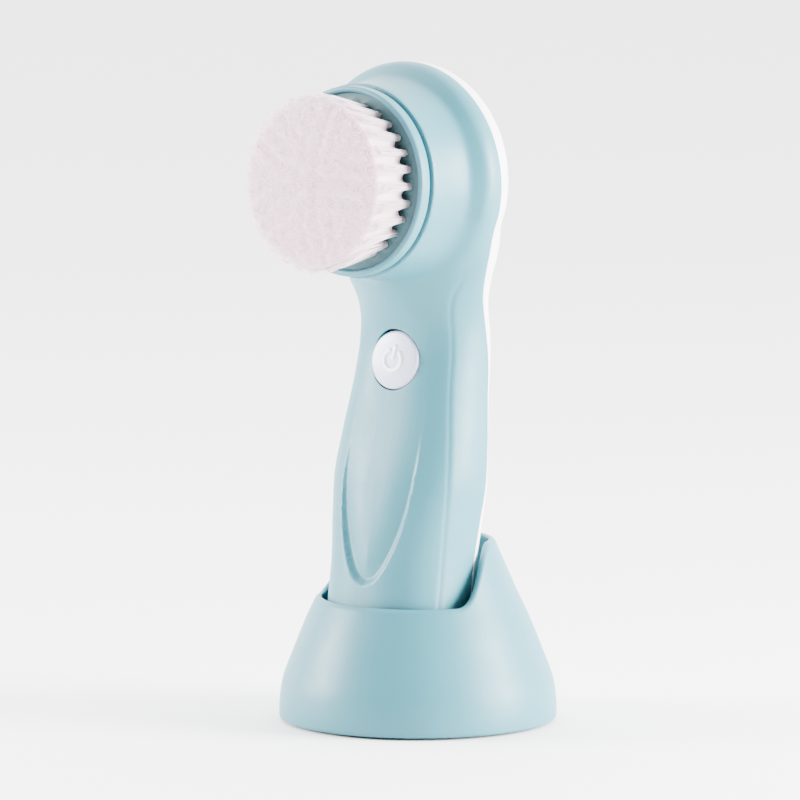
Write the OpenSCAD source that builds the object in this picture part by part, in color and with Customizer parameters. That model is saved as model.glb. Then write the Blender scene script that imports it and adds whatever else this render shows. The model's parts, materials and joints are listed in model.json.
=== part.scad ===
// Battery-powered facial cleansing brush standing in a bell-shaped stand.
// Origin: centre of the stand's resting face. +Z is up, the brush faces -Y.

/* [Stand] */
// Radius of the stand at its foot
stand_r = 35.5; // [35:0.1:36]
// Height of the stand's low front rim
rim_front = 32; // [31:0.5:33]
// Height of the stand's high rear rim
rim_rear = 46.8; // [46:0.1:48]
// Wall thickness of the stand
stand_wall = 1.8; // [1.6:0.1:1.9]

/* [Handle] */
// Angle by which the handle leans back in the stand
lean = 10; // [9:0.5:11]
// Wall thickness of the handle's shells
wall = 2; // [1.8:0.1:2.2]
// Diameter of the power button
button_d = 15; // [13:0.5:16]

/* [Head] */
// Height of the head's centre
head_z = 139.5; // [139.2:0.1:139.8]
// Radius of the head
head_r = 29.9; // [29.6:0.1:30]
// Upward tilt of the brush axis
head_tilt = 3; // [2.5:0.5:3.5]
// Radius of the brush cup
cup_r = 24.1; // [23.8:0.1:24.4]
// Radius of the bristle field
bristle_r = 23; // [22:0.1:23.2]
// Length of the bristles at the centre of the field
bristle_len = 17.6; // [16:0.1:18]

/* [Drive] */
// Module of the gear teeth
gear_m = 0.5; // [0.5:0.1:0.5]
// Teeth on the motor pinion
pinion_teeth = 10; // [10:1:10]
// Teeth on the large wheel of the idler
idler_teeth = 36; // [36:2:36]
// Teeth on the small wheel of the idler
idler_small_teeth = 12; // [12:1:12]
// Teeth on the output gear
output_teeth = 36; // [36:2:36]

/* [Hidden] */
$fn = 96;
eps = 0.01;

aqua = [0.66, 0.85, 0.87];
aqua_dark = [0.42, 0.62, 0.65];
white = [0.95, 0.95, 0.96];
bristle_pink = [0.96, 0.90, 0.92];
steel = [0.72, 0.73, 0.75];
brass = [0.82, 0.68, 0.36];
grey = [0.45, 0.47, 0.48];
black = [0.12, 0.12, 0.13];
board_green = [0.10, 0.38, 0.22];

// Handle frame: origin at the foot's centre, z along the handle.
foot_y = -12.2;
foot_z = 14;
// Head frame: origin on the seam plane, z along the brush axis, y up.
head_y = -3.2;
// Distances along the brush axis from the seam plane
face_back = 18.6;
face_front = 20.6;
cup_back = 21.2;
cup_floor_t = 1.2;
cup_front = 24.6;
plate_front = 23.4;
dome_depth = 14.5;

function smooth(t) = let (u = min(max(t, 0), 1)) u * u * (3 - 2 * u);
function mix(a, b, t) = a + (b - a) * t;
// Smooth curve through a list of [position, value] stations (Catmull-Rom).
function station(p, i) = p[min(max(i, 0), len(p) - 1)];
function find_span(p, x, i = 0) = i >= len(p) - 2 || x < p[i + 1][0] ? i : find_span(p, x, i + 1);
function slope(p, i) = let (a = station(p, i - 1), b = station(p, i + 1)) (b[1] - a[1]) / (b[0] - a[0]);
function curve(p, x) =
    let (i = find_span(p, x), a = p[i], b = p[i + 1], h = b[0] - a[0], t = (x - a[0]) / h)
    (2 * t ^ 3 - 3 * t ^ 2 + 1) * a[1] + (t ^ 3 - 2 * t ^ 2 + t) * h * slope(p, i)
    + (3 * t ^ 2 - 2 * t ^ 3) * b[1] + (t ^ 3 - t ^ 2) * h * slope(p, i + 1);

module in_handle() { translate([0, foot_y, foot_z]) rotate([-lean, 0, 0]) children(); }
module in_head() { translate([0, head_y, head_z]) rotate([90 - head_tilt, 0, 0]) children(); }

// ---- Stand ----
bell = [[0, stand_r], [5, stand_r], [11, stand_r - 0.9], [18, stand_r - 3.5], [26, stand_r - 6.7],
    [34, stand_r - 10.4], [42, stand_r - 13.9], [52, stand_r - 18.1]];
bell_steps = 26;
bell_top = 50;
function bell_r(z) = curve(bell, z);
rim_start = -12;
rim_run = 19;
function rim_z(y) = rim_front + (rim_rear - rim_front) * smooth((y - rim_start) / rim_run);
plate_t = 2;
plate_r = stand_r - stand_wall - 0.2;
// Height at which the stand's plastic stands on its rubber mat
foot_pad_h = 0.6;
plate_top = foot_pad_h + plate_t;
// Screw posts, which run into the wall
post_r = 2.6;
post_h = 6;
post_skin = 1;
screw_ring = stand_r - stand_wall - post_r + 0.2;
pilot_r = 0.9;
hole_r = 1.3;
sink_r = 2.3;
sink_depth = 1;
// Rubber mat under the stand and the pocket that holds it
mat_r = 25;
pocket = 0.5;

module bell_solid(inset, low) {
    rotate_extrude()
        polygon(concat([[0, low]],
            [for (i = [0:bell_steps]) let (z = mix(low, bell_top, i / bell_steps)) [bell_r(z) - inset, z]],
            [[0, bell_top]]));
}
// Everything above the rim line, as seen from the side
module above_rim() {
    rotate([90, 0, 90])
        linear_extrude(height = 4 * stand_r, center = true)
            polygon(concat([[-2 * stand_r, 2 * bell_top], [-2 * stand_r, rim_front]],
                [for (i = [0:24]) let (y = rim_start + rim_run * i / 24) [y, rim_z(y)]],
                [[2 * stand_r, rim_rear], [2 * stand_r, 2 * bell_top]]));
}
module at_base_screws() {
    for (a = [30:120:270]) rotate(a) translate([screw_ring, 0, 0]) children();
}
module stand_shell() {
    color(aqua) difference() {
        union() {
            difference() {
                bell_solid(0, foot_pad_h);
                bell_solid(stand_wall, 0);
            }
            at_base_screws() translate([0, 0, plate_top]) cylinder(r = post_r, h = post_h);
        }
        at_base_screws() cylinder(r = pilot_r, h = plate_top + post_h - post_skin);
        above_rim();
    }
}
module base_plate() {
    color(aqua_dark) difference() {
        translate([0, 0, foot_pad_h]) cylinder(r = plate_r, h = plate_t);
        at_base_screws() cylinder(r = hole_r, h = far);
        at_base_screws() cylinder(r = sink_r, h = foot_pad_h + sink_depth);
        cylinder(r = mat_r, h = foot_pad_h + pocket);
    }
}
module stand_mat() {
    color(black) cylinder(r = mat_r, h = foot_pad_h + pocket);
}
// Cross-head screw: shank up from z = 0, head below it
slot_w = 0.4;
module screw(shank_r, shank, cap_r, cap_h) {
    difference() {
        union() {
            cylinder(r = shank_r, h = shank);
            translate([0, 0, -cap_h]) cylinder(r = cap_r, h = cap_h);
        }
        for (a = [0, 90])
            rotate(a) translate([-cap_r * 0.55, -slot_w / 2, -cap_h - eps])
                cube([cap_r * 1.1, slot_w, cap_h * 0.6]);
    }
}
module base_screws() {
    shank = plate_t - sink_depth + post_h - post_skin;
    color(steel) at_base_screws() translate([0, 0, foot_pad_h + sink_depth]) screw(pilot_r, shank, 2.1, 0.9);
}
// Outline of the handle: superellipse halves that meet on its widest line
widest_y = 4.6;
widest_line = [[0, widest_y], [60, widest_y], [80, 4.3], [87, 3], [92, 0.6], [98, -3.4], [106, -8.6],
    [118, -15]];
outline_steps = 48;
// Stations along the handle: half-width, depth in front of the widest line, depth behind it
half_w = [[0, 18.7], [20, 18.8], [30, 18.8], [40, 19.7], [50, 20.6], [60, 20.1], [74, 18.6], [86, 18.2],
    [92, 18.6], [97, 19.6], [102, 22], [107, 24.8], [113, 27.2], [118, 28.2]];
front_d = [[0, 18.2], [16, 18.4], [30, 18.6], [46, 18.2], [60, 16.6], [74, 15.6], [84, 15.2], [91, 15.7],
    [98, 17.2], [106, 18.4], [118, 18]];
rear_d = [[0, 10], [30, 10], [46, 8], [60, 4.8], [74, 4.2], [84, 4.6], [92, 6.8], [98, 9.6],
    [102, 11.4], [106, 13.2], [112, 15.2], [118, 15.9]];
// How square the outline is in front of the widest line and behind it: 2 is an ellipse
front_square = [[0, 2.5], [24, 2.6], [38, 2.9], [70, 2.9], [84, 2.6], [95, 1.8], [118, 1.6]];
rear_square = 2.4;
function power(v, p) = sign(v) * abs(v) ^ p;
function outline(z, inset, fit = 0) =
    [for (i = [0:outline_steps - 1]) let (a = 360 * i / outline_steps,
        rear = sin(a) > 0,
        d = curve(rear ? rear_d : front_d, z), q = 2 / (rear ? rear_square : curve(front_square, z)))
        [(curve(half_w, z) - inset + fit) * power(cos(a), q),
         curve(widest_line, z) + (d - inset + fit) * power(sin(a), q)]];
foot_low = 5.05;
loft_top = 118;
loft_rings = 26;
module loft(inset, low, high) {
    points = [for (k = [0:loft_rings]) let (z = mix(low, high, k / loft_rings))
        for (p = outline(z, inset)) [p[0], p[1], z]];
    n = outline_steps;
    faces = concat([[for (i = [0:n - 1]) i]],
        [for (k = [0:loft_rings - 1]) for (i = [0:n - 1]) let (j = (i + 1) % n)
            each [[k * n + i, (k + 1) * n + i, k * n + j], [k * n + j, (k + 1) * n + i, (k + 1) * n + j]]],
        [[for (i = [n - 1:-1:0]) loft_rings * n + i]]);
    polyhedron(points, faces);
}
// Cradle: a cup inside the stand that the handle's foot drops into
cradle_fit = 0.45;
cradle_wall = 2;
cradle_low = -14;
cradle_depth = 8;
cradle_gap = 0.2;
module foot_prism(grow, low, high) {
    translate([0, 0, low]) linear_extrude(height = high - low) polygon(outline(0, 0, grow));
}
module cradle() {
    color(aqua_dark) difference() {
        intersection() {
            in_handle() foot_prism(cradle_fit + cradle_wall, cradle_low, cradle_depth);
            bell_solid(stand_wall + cradle_gap, plate_top);
        }
        in_handle() foot_prism(cradle_fit, cradle_low - 1, cradle_depth + 1);
        at_base_screws() cylinder(r = post_r + cradle_gap, h = far);
    }
}

// ---- Shells ----
// The seam leans a little less than the handle, so it starts further back at the foot
seam_foot = 8.2;
seam_lean = 7.4;
seam_base = foot_y + seam_foot * cos(lean);
seam_base_z = foot_z - seam_foot * sin(lean);
blend_low = 88;
blend_high = 130;
function seam_y(z) =
    let (handle_y = seam_base + tan(seam_lean) * (z - seam_base_z))
    mix(handle_y, head_y, smooth((z - blend_low) / (blend_high - blend_low)));
far = 120;
module beyond_seam(gap, side) {
    steps = 18;
    rotate([90, 0, 90]) linear_extrude(height = far, center = true)
        polygon(concat([[side * far, 2 * far], [side * far, -far], [seam_y(-far) + gap, -far]],
            [for (i = [0:steps]) let (z = mix(blend_low, blend_high, i / steps)) [seam_y(z) + gap, z]],
            [[head_y + gap, 2 * far]]));
}
head_side = [[0, head_r], [3, head_r - 0.1], [5, head_r - 0.8], [6.6, head_r - 2.2], [8, head_r - 3.5],
    [10, head_r - 4.2], [14, head_r - 4.8], [face_front, cup_r + 0.6]];
side_steps = 24;
module head_solid(inset, front) {
    rotate_extrude()
        polygon(concat([for (a = [-90:6:-6]) [(head_r - inset) * cos(a), (dome_depth - inset) * sin(a)]],
            [for (i = [0:side_steps]) let (s = front * i / side_steps) [curve(head_side, s) - inset, s]],
            [[0, front]]));
}
module body_solid(inset, low, front) {
    in_handle() loft(inset, low, loft_top);
    in_head() head_solid(inset, front);
}
button_z = 78.9;
button_face = -11.5;
button_fit = 0.35;
module in_button() { in_handle() translate([0, 0, button_z]) rotate([90, 0, 0]) children(); }
boss_x = 11;
boss_z = 67;
boss_r = 2.2;
boss_h = 8;
boss_pilot = 4;
ear_front = -3;
module at_bosses() {
    in_handle() for (side = [-1, 1]) translate([side * boss_x, 0, boss_z]) rotate([90, 0, 0]) children();
}
seal_r = 5;
gear_screw_ring = 19.5;
screw_bite = 1.4;
gear_screw_angles = [335, 40, 95, 155];
module at_gear_screws() {
    for (a = gear_screw_angles) rotate(a) translate([gear_screw_ring, 0, 0]) children();
}
module front_shell() {
    color(aqua) difference() {
        union() {
            difference() {
                body_solid(0, foot_low, face_front);
                body_solid(wall, foot_low - 1, face_back);
            }
            intersection() {
                at_bosses() translate([0, 0, -ear_front]) cylinder(r = boss_r, h = boss_h);
                in_handle() loft(wall / 2, foot_low, loft_top);
            }
        }
        beyond_seam(0, 1);
        in_head() translate([0, 0, face_front]) cylinder(r = head_r, h = far);
        at_bosses() translate([0, 0, -ear_front - 1]) cylinder(r = pilot_r, h = boss_pilot + 1);
        in_button() cylinder(r = button_d / 2 + button_fit, h = far);
        in_head() translate([0, 0, face_back - 1]) cylinder(r = seal_r, h = far);
        in_head() at_gear_screws() translate([0, 0, face_back - 1]) cylinder(r = pilot_r, h = screw_bite + 1);
    }
}
module rear_cover() {
    color(white) difference() {
        body_solid(0, foot_low, face_front);
        body_solid(wall, foot_low - 1, face_back);
        beyond_seam(0, -1);
    }
}
// ---- Carrier, cells and electronics, in the handle's frame ----
cell_r = 7.2;
cell_len = 50.5;
cell_button_r = 2.7;
cell_button_h = 1.4;
cell_low = 10.2;
cell_x = 7.5;
cell_y = -1.2;
deck_low = 62;
deck_t = 2;
board_low = 71;
board_len = 21;
board_w = 19;
board_front = -2.6;
board_t = 1.6;
spine_y = 0.8;
spine_t = 1.4;
tray_y = 6.1;
tray_w = 14;
tray_t = 0.9;
tray_low = foot_low + 4;
// Rib between the two cells
rib_w = 1.6;
rib_h = 3;
// Ears that the chassis screws hold to the front shell
ear_w = 5;
ear_t = 1.6;
ear_h = 8;
board_post_r = 1.6;
board_pilot = 0.7;
post_edge = 2.5;
module at_board_posts() {
    in_handle() for (x = [-1, 1], z = [post_edge, board_len - post_edge])
        translate([x * (board_w / 2 - post_edge), 0, board_low + z]) rotate([90, 0, 0]) children();
}
module chassis() {
    color(grey) difference() {
        union() {
            in_handle() {
                translate([0, 0, deck_low]) linear_extrude(height = deck_t)
                    polygon(outline(deck_low + 4, wall + 0.5));
                translate([-tray_w / 2, tray_y, tray_low]) cube([tray_w, tray_t, deck_low - tray_low + eps]);
                translate([-rib_w / 2, tray_y - rib_h, tray_low + 2])
                    cube([rib_w, rib_h + eps, deck_low - tray_low - 2 + eps]);
                translate([-board_w / 2, spine_y, deck_low])
                    cube([board_w, spine_t, board_low + board_len - deck_low]);
                for (side = [-1, 1])
                    translate([side * boss_x - ear_w / 2, ear_front, deck_low]) cube([ear_w, ear_t, ear_h]);
            }
            at_board_posts() translate([0, 0, -spine_y - eps])
                cylinder(r = board_post_r, h = spine_y - board_front - board_t + eps);
        }
        at_board_posts() translate([0, 0, -spine_y - spine_t - 1]) cylinder(r = board_pilot, h = far);
        at_bosses() cylinder(r = pilot_r + 0.2, h = far);
    }
}
module chassis_screws() {
    color(steel) at_bosses() translate([0, 0, -ear_front - ear_t]) screw(pilot_r, 5, 1.9, 1.1);
}
module cell(side) {
    in_handle() translate([side * cell_x, cell_y, cell_low]) {
        cylinder(r = cell_r, h = cell_len - cell_button_h);
        translate([0, 0, cell_len - cell_button_h - eps]) cylinder(r = cell_button_r, h = cell_button_h);
    }
}
module cell_left() { color(black) cell(-1); }
module cell_right() { color(black) cell(1); }
contact_w = 8;
contact_t = 0.6;
module upper_contacts() {
    color(brass) in_handle() for (side = [-1, 1])
        translate([side * cell_x - contact_w / 2, cell_y - contact_w / 2, deck_low - contact_t])
            cube([contact_w, contact_w, contact_t]);
}
module circuit_board() {
    color(board_green) difference() {
        in_handle() translate([-board_w / 2, board_front, board_low]) cube([board_w, board_t, board_len]);
        at_board_posts() cylinder(r = board_pilot + 0.15, h = far);
    }
}
module board_screws() {
    color(steel) at_board_posts() translate([0, 0, -board_front]) rotate([180, 0, 0])
        screw(board_pilot, 2.6, 1.4, 0.6);
}
switch_w = 6;
switch_h = 3.4;
switch_floor = 1;
switch_bore = 1.8;
plunger_r = 1.7;
plunger_len = 2;
plunger_front = -7;
module tact_switch() {
    color(black) difference() {
        in_button() translate([-switch_w / 2, -switch_w / 2, -board_front])
            cube([switch_w, switch_w, switch_h]);
        in_button() translate([0, 0, -board_front + switch_floor]) cylinder(r = switch_bore, h = far);
    }
}
module switch_plunger() {
    color(grey) in_button() translate([0, 0, -plunger_front - plunger_len])
        cylinder(r = plunger_r, h = plunger_len);
}
// Chips on the board: x, y and size
chips = [[-7.5, 1, [3.5, 5, 1.4]], [4.5, 1, [2.5, 4, 1]], [4.5, 6.5, [2, 1.2, 0.8]]];
module board_chips() {
    color(black) in_button() {
        for (chip = chips) translate([chip[0], chip[1], -board_front]) cube(chip[2]);
    }
}
// Flange that keeps the button in, and the silicone ring round it
flange_r = 8.3;
flange_back = 7.1;
flange_t = 0.8;
stem_r = 1.5;
boot_r = 9.8;
boot_back = 6.2;
boot_t = 1.2;
module button_boot() {
    color(aqua_dark) in_button() translate([0, 0, boot_back]) difference() {
        cylinder(r = boot_r, h = boot_t);
        translate([0, 0, -1]) cylinder(r = flange_r + 0.4, h = boot_t + 2);
    }
}
// Power symbol raised on the button
icon_r = 2.7;
icon_t = 1.1;
icon_h = 0.25;
icon_gap = 80;
icon_stem_low = 0.6;
// How far the symbol reaches down into the domed face
icon_root = 0.4;
dome_rise = 0.4;
module power_button() {
    color(white) in_button() {
        rotate_extrude() polygon(concat([[0, flange_back - 0.05], [stem_r, flange_back - 0.05],
            [stem_r, flange_back], [flange_r, flange_back], [flange_r, flange_back + flange_t],
            [button_d / 2, flange_back + flange_t]],
            [for (i = [0:6]) let (a = 15 * i) [button_d / 2 - 1 + cos(a), -button_face - 1 + sin(a)]],
            [[button_d / 4, -button_face + 0.75 * dome_rise], [0, -button_face + dome_rise]]));
        translate([0, 0, -button_face]) {
            rotate(90 + icon_gap / 2) rotate_extrude(angle = 360 - icon_gap)
                translate([icon_r - icon_t / 2, 0]) square([icon_t, icon_h + icon_root]);
            translate([-icon_t / 2, icon_stem_low, 0]) cube([icon_t, icon_r, icon_h + icon_root]);
        }
    }
}
// ---- Motor and gear train, in the head's frame ----
motor_y = -13;
motor_r = 10;
motor_back = -4.3;
motor_front = 11.6;
// Motor can: walls, the bearing boss at its back and the hole for its bush
can_back_t = 0.6;
can_front_t = 1.8;
can_boss_r = 3;
can_boss_h = 1.2;
can_hole_r = 2.6;
motor_screw_r = 0.8;
motor_screw_v = 8;
rotor_len = 10;
motor_shaft_front = 15.2;
base_t = 1.6;
base_back = motor_front;
base_front = base_back + base_t;
base_sink = 0.9;
gear_hole_r = 1;
gear_post_r = 2;
cover_back = 17.2;
train_plate_r = 22;
motor_shaft_r = 1;
pin_r = 0.75;
shaft_r = 2;
bush_r = 3.2;
run_fit = 0.04;
output_reach = gear_m * (output_teeth + idler_small_teeth) / 2;
pinion_reach = gear_m * (idler_teeth + pinion_teeth) / 2;
idler_y = (output_reach ^ 2 - pinion_reach ^ 2 + motor_y ^ 2) / (2 * motor_y);
idler_x = -sqrt(output_reach ^ 2 - idler_y ^ 2);
to_output = atan2(-idler_y, -idler_x);
to_idler = atan2(idler_y - motor_y, idler_x);
wheel_back = 13.6;
wheel_t = 1.4;
output_back = 15.5;
output_t = 1.3;

module at_motor() { in_head() translate([0, motor_y, 0]) children(); }
module at_idler() { in_head() translate([idler_x, idler_y, 0]) children(); }
// Spur gear with one tooth centred on the given angle
module gear(teeth, angle, height) {
    pitch_r = gear_m * teeth / 2;
    root_r = pitch_r - 1.2 * gear_m;
    tip_r = pitch_r + 0.85 * gear_m;
    step = 360 / teeth;
    // Half-widths of a tooth at its root and at its tip, in steps
    root_half = 0.29;
    tip_half = 0.12;
    corners = [[root_r, -root_half], [tip_r, -tip_half], [tip_r, tip_half], [root_r, root_half]];
    rotate(angle) linear_extrude(height = height)
        polygon([for (i = [0:teeth - 1], c = corners)
            let (a = (i + c[1]) * step) [c[0] * cos(a), c[0] * sin(a)]]);
}
module motor_screw_places() { for (side = [-1, 1]) translate([0, side * motor_screw_v, 0]) children(); }
module motor_can() {
    color(steel) at_motor() difference() {
        union() {
            translate([0, 0, motor_back]) cylinder(r = motor_r, h = motor_front - motor_back);
            translate([0, 0, motor_back - can_boss_h]) cylinder(r = can_boss_r, h = can_boss_h + eps);
        }
        translate([0, 0, motor_back + can_back_t])
            cylinder(r = motor_r - 1, h = motor_front - motor_back - can_back_t - can_front_t);
        cylinder(r = can_hole_r, h = far);
        motor_screw_places() cylinder(r = motor_screw_r, h = far);
    }
}
module motor_bush() {
    color(brass) at_motor() difference() {
        translate([0, 0, motor_front - can_front_t]) cylinder(r = can_hole_r, h = can_front_t + base_t);
        cylinder(r = motor_shaft_r + run_fit, h = far);
    }
}
module motor_shaft() {
    color(steel) at_motor() {
        translate([0, 0, motor_back + 1]) cylinder(r = motor_shaft_r, h = motor_shaft_front - motor_back - 1);
        translate([0, 0, motor_back + 2]) cylinder(r = motor_r - 2, h = rotor_len);
    }
}
module pinion() {
    color(white) at_motor() translate([0, 0, wheel_back - 0.1]) difference() {
        gear(pinion_teeth, to_idler, wheel_t + 0.3);
        translate([0, 0, -1]) cylinder(r = motor_shaft_r, h = far);
    }
}
module motor_screws() {
    color(steel) at_motor() motor_screw_places()
        translate([0, 0, base_front - base_sink]) rotate([180, 0, 0]) screw(motor_screw_r, 2.8, 1.7, 0.85);
}
module gearbox_base() {
    color(grey) in_head() difference() {
        translate([0, 0, base_back]) cylinder(r = train_plate_r, h = base_t);
        translate([0, motor_y, 0]) cylinder(r = can_hole_r, h = far);
        translate([0, motor_y, 0]) motor_screw_places() cylinder(r = motor_screw_r + 0.15, h = far);
        translate([0, motor_y, base_front - base_sink]) motor_screw_places() cylinder(r = 1.9, h = far);
        translate([idler_x, idler_y, 0]) cylinder(r = pin_r, h = far);
        cylinder(r = bush_r, h = far);
        at_gear_screws() cylinder(r = gear_hole_r, h = far);
    }
}
module gearbox_cover() {
    color(grey) in_head() difference() {
        union() {
            translate([0, 0, cover_back]) cylinder(r = train_plate_r, h = face_back - cover_back);
            at_gear_screws() translate([0, 0, base_front])
                cylinder(r = gear_post_r, h = face_back - base_front);
        }
        translate([idler_x, idler_y, 0]) cylinder(r = pin_r, h = far);
        cylinder(r = bush_r, h = far);
        at_gear_screws() cylinder(r = gear_hole_r, h = far);
    }
}
module gearbox_screws() {
    color(steel) in_head() at_gear_screws() translate([0, 0, base_back])
        screw(pilot_r, face_back + 1 - base_back, 1.8, 1);
}
module idler_pin() {
    color(steel) at_idler() translate([0, 0, base_back + 0.2])
        cylinder(r = pin_r, h = face_back - base_back - 0.4);
}
module idler_gear() {
    color(white) at_idler() difference() {
        union() {
            translate([0, 0, wheel_back]) gear(idler_teeth, to_idler + 180 + 180 / idler_teeth, wheel_t);
            translate([0, 0, wheel_back + wheel_t - eps]) gear(idler_small_teeth, to_output, 2);
        }
        cylinder(r = pin_r + run_fit, h = far);
    }
}
module output_gear() {
    color(white) in_head() translate([0, 0, output_back]) difference() {
        gear(output_teeth, to_output + 180 + 180 / output_teeth, output_t);
        translate([0, 0, -1]) cylinder(r = shaft_r, h = far);
    }
}
shaft_low = base_back + 0.4;
shaft_high = 23;
flat_depth = 0.5;
module output_shaft() {
    color(steel) in_head() difference() {
        translate([0, 0, shaft_low]) cylinder(r = shaft_r, h = shaft_high - shaft_low);
        translate([shaft_r - flat_depth, -shaft_r, face_front + 0.2]) cube(2 * shaft_r);
    }
}
module shaft_bushes() {
    color(brass) in_head() difference() {
        union() {
            translate([0, 0, base_back]) cylinder(r = bush_r, h = base_t);
            translate([0, 0, cover_back]) cylinder(r = bush_r, h = face_back - cover_back);
        }
        cylinder(r = shaft_r + run_fit, h = far);
    }
}
module shaft_seal() {
    color(black) in_head() difference() {
        translate([0, 0, face_back]) cylinder(r = seal_r, h = face_front - face_back);
        cylinder(r = shaft_r + 0.05, h = far);
    }
}
// ---- Battery cap ----
cap_top = 4.6;
cap_floor = 2;
// Spigot that goes up inside the shells
spigot_top = 8;
spigot_t = 1.5;
spigot_inset = wall + 0.35;
module battery_cap() {
    color(aqua) in_handle() difference() {
        union() {
            foot_prism(0, 0, cap_top);
            foot_prism(-spigot_inset, cap_top - eps, spigot_top);
        }
        foot_prism(-spigot_inset - spigot_t, cap_floor, spigot_top + 1);
    }
}
// Flat ring between the cap and the shells
seal_edge = 0.4;
seal_w = 1.5;
seal_t = 0.4;
module cap_seal() {
    color(black) in_handle() difference() {
        foot_prism(-seal_edge, cap_top, cap_top + seal_t);
        foot_prism(-seal_edge - seal_w, cap_top - 1, cap_top + seal_t + 1);
    }
}
bridge_size = [24, 9, 5.4];
bridge_top = cap_floor + bridge_size[2];
// Seats of the two springs on the bridge
seat_r = 3.4;
seat_t = 0.3;
module bridge_contact() {
    color(brass) in_handle() {
        translate([-bridge_size[0] / 2, cell_y - bridge_size[1] / 2, cap_floor]) cube(bridge_size);
        for (side = [-1, 1])
            translate([side * cell_x, cell_y, bridge_top - eps]) cylinder(r = seat_r, h = seat_t + eps);
    }
}
// Cone springs on the bridge that press on the cells
spring_wire = 0.35;
spring_turns = 3;
spring_low_r = 3.4;
spring_high_r = 2;
module contact_springs() {
    sides = 6;
    rings = 14 * spring_turns;
    low = bridge_top + seat_t + spring_wire;
    high = cell_low - 0.1 - spring_wire;
    points = [for (i = [0:rings], k = [0:sides - 1]) let (t = i / rings, a = 360 * spring_turns * t,
        r = mix(spring_low_r, spring_high_r, t) + spring_wire * cos(360 * k / sides))
        [r * cos(a), r * sin(a), mix(low, high, t) + spring_wire * sin(360 * k / sides)]];
    faces = concat([[for (k = [0:sides - 1]) k]],
        [for (i = [0:rings - 1], k = [0:sides - 1]) let (m = (k + 1) % sides)
            each [[i * sides + k, (i + 1) * sides + k, i * sides + m],
                [i * sides + m, (i + 1) * sides + k, (i + 1) * sides + m]]],
        [[for (k = [sides - 1:-1:0]) rings * sides + k]]);
    color(steel) in_handle() for (side = [-1, 1])
        translate([side * cell_x, cell_y, 0]) polyhedron(points, faces);
}
// ---- Brush head ----
rim_t = 1.3;
hub_r = 4;
module brush_cup() {
    color(aqua) in_head() rotate_extrude()
        polygon(concat([[hub_r, cup_back], [cup_r - 0.6, cup_back], [cup_r, cup_back + 0.8]],
            [for (i = [0:6]) let (a = 30 * i)
                [cup_r - rim_t / 2 * (1 - cos(a)), cup_front - rim_t / 2 * (1 - sin(a))]],
            [[cup_r - rim_t, cup_back + cup_floor_t], [hub_r, cup_back + cup_floor_t]]));
}
module drive_socket() {
    color(aqua_dark) in_head() difference() {
        translate([0, 0, face_front + 0.3]) cylinder(r = hub_r, h = plate_front - face_front - 0.3);
        difference() {
            cylinder(r = shaft_r + run_fit, h = shaft_high + 0.05);
            translate([shaft_r - flat_depth + 0.06, -shaft_r - 1, face_front]) cube(2 * shaft_r + 2);
        }
    }
}
module bristle_plate() {
    color(aqua_dark) in_head() difference() {
        translate([0, 0, cup_back + cup_floor_t])
            cylinder(r = cup_r - rim_t, h = plate_front - cup_back - cup_floor_t);
        cylinder(r = hub_r, h = far);
    }
}
module bristles() {
    color(bristle_pink) in_head() rotate_extrude()
        polygon(concat([[0, plate_front], [bristle_r - 1.2, plate_front]],
            [for (i = [0:8]) let (a = 90 * i / 8)
                [bristle_r - 3 + 3 * cos(a), plate_front + bristle_len - 4.4 + 3.4 * sin(a)]],
            [[bristle_r * 0.5, plate_front + bristle_len - 0.3], [0, plate_front + bristle_len]]));
}

stand_shell();
cradle();
base_plate();
stand_mat();
base_screws();
front_shell();
rear_cover();
chassis();
chassis_screws();
cell_left();
cell_right();
contact_springs();
upper_contacts();
circuit_board();
board_screws();
tact_switch();
switch_plunger();
board_chips();
button_boot();
power_button();
motor_can();
motor_bush();
motor_shaft();
pinion();
motor_screws();
gearbox_base();
gearbox_cover();
gearbox_screws();
idler_pin();
idler_gear();
output_gear();
output_shaft();
shaft_bushes();
shaft_seal();
battery_cap();
cap_seal();
bridge_contact();
brush_cup();
drive_socket();
bristle_plate();
bristles();
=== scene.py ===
"""Facial cleansing brush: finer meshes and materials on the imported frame.

Lengths are in millimetres inside the mesh functions and become metres in make_piece().
Four frames are used: the row frame of the CAD, the handle frame (origin at the foot, z along
the handle), the head frame (z along the brush axis, y up) and the button frame (z out of the
handle's front).
"""
import json
import math

import bmesh
import bpy
import numpy as np
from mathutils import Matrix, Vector


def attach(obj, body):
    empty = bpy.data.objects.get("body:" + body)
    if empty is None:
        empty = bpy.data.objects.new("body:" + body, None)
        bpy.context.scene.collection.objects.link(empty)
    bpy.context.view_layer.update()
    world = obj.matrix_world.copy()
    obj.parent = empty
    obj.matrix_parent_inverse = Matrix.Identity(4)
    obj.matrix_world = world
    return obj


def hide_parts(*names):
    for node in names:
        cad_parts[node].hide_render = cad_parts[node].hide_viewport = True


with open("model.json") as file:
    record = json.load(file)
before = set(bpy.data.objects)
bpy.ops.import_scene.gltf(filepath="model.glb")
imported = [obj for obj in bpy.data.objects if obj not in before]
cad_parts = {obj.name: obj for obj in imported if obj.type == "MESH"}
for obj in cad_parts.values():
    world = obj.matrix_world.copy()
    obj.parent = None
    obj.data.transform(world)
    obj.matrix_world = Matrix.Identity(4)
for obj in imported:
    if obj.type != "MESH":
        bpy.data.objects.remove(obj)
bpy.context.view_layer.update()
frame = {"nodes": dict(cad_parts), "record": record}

MM = 0.001

# ---- Driving dimensions, the same design as the CAD ----
LEAN = math.radians(10)
FOOT_Y, FOOT_Z = -12.2, 14.0
HEAD_Y, HEAD_Z = -3.2, 139.5
HEAD_TILT = math.radians(3)
HEAD_R = 29.9
DOME_DEPTH = 14.5
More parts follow.
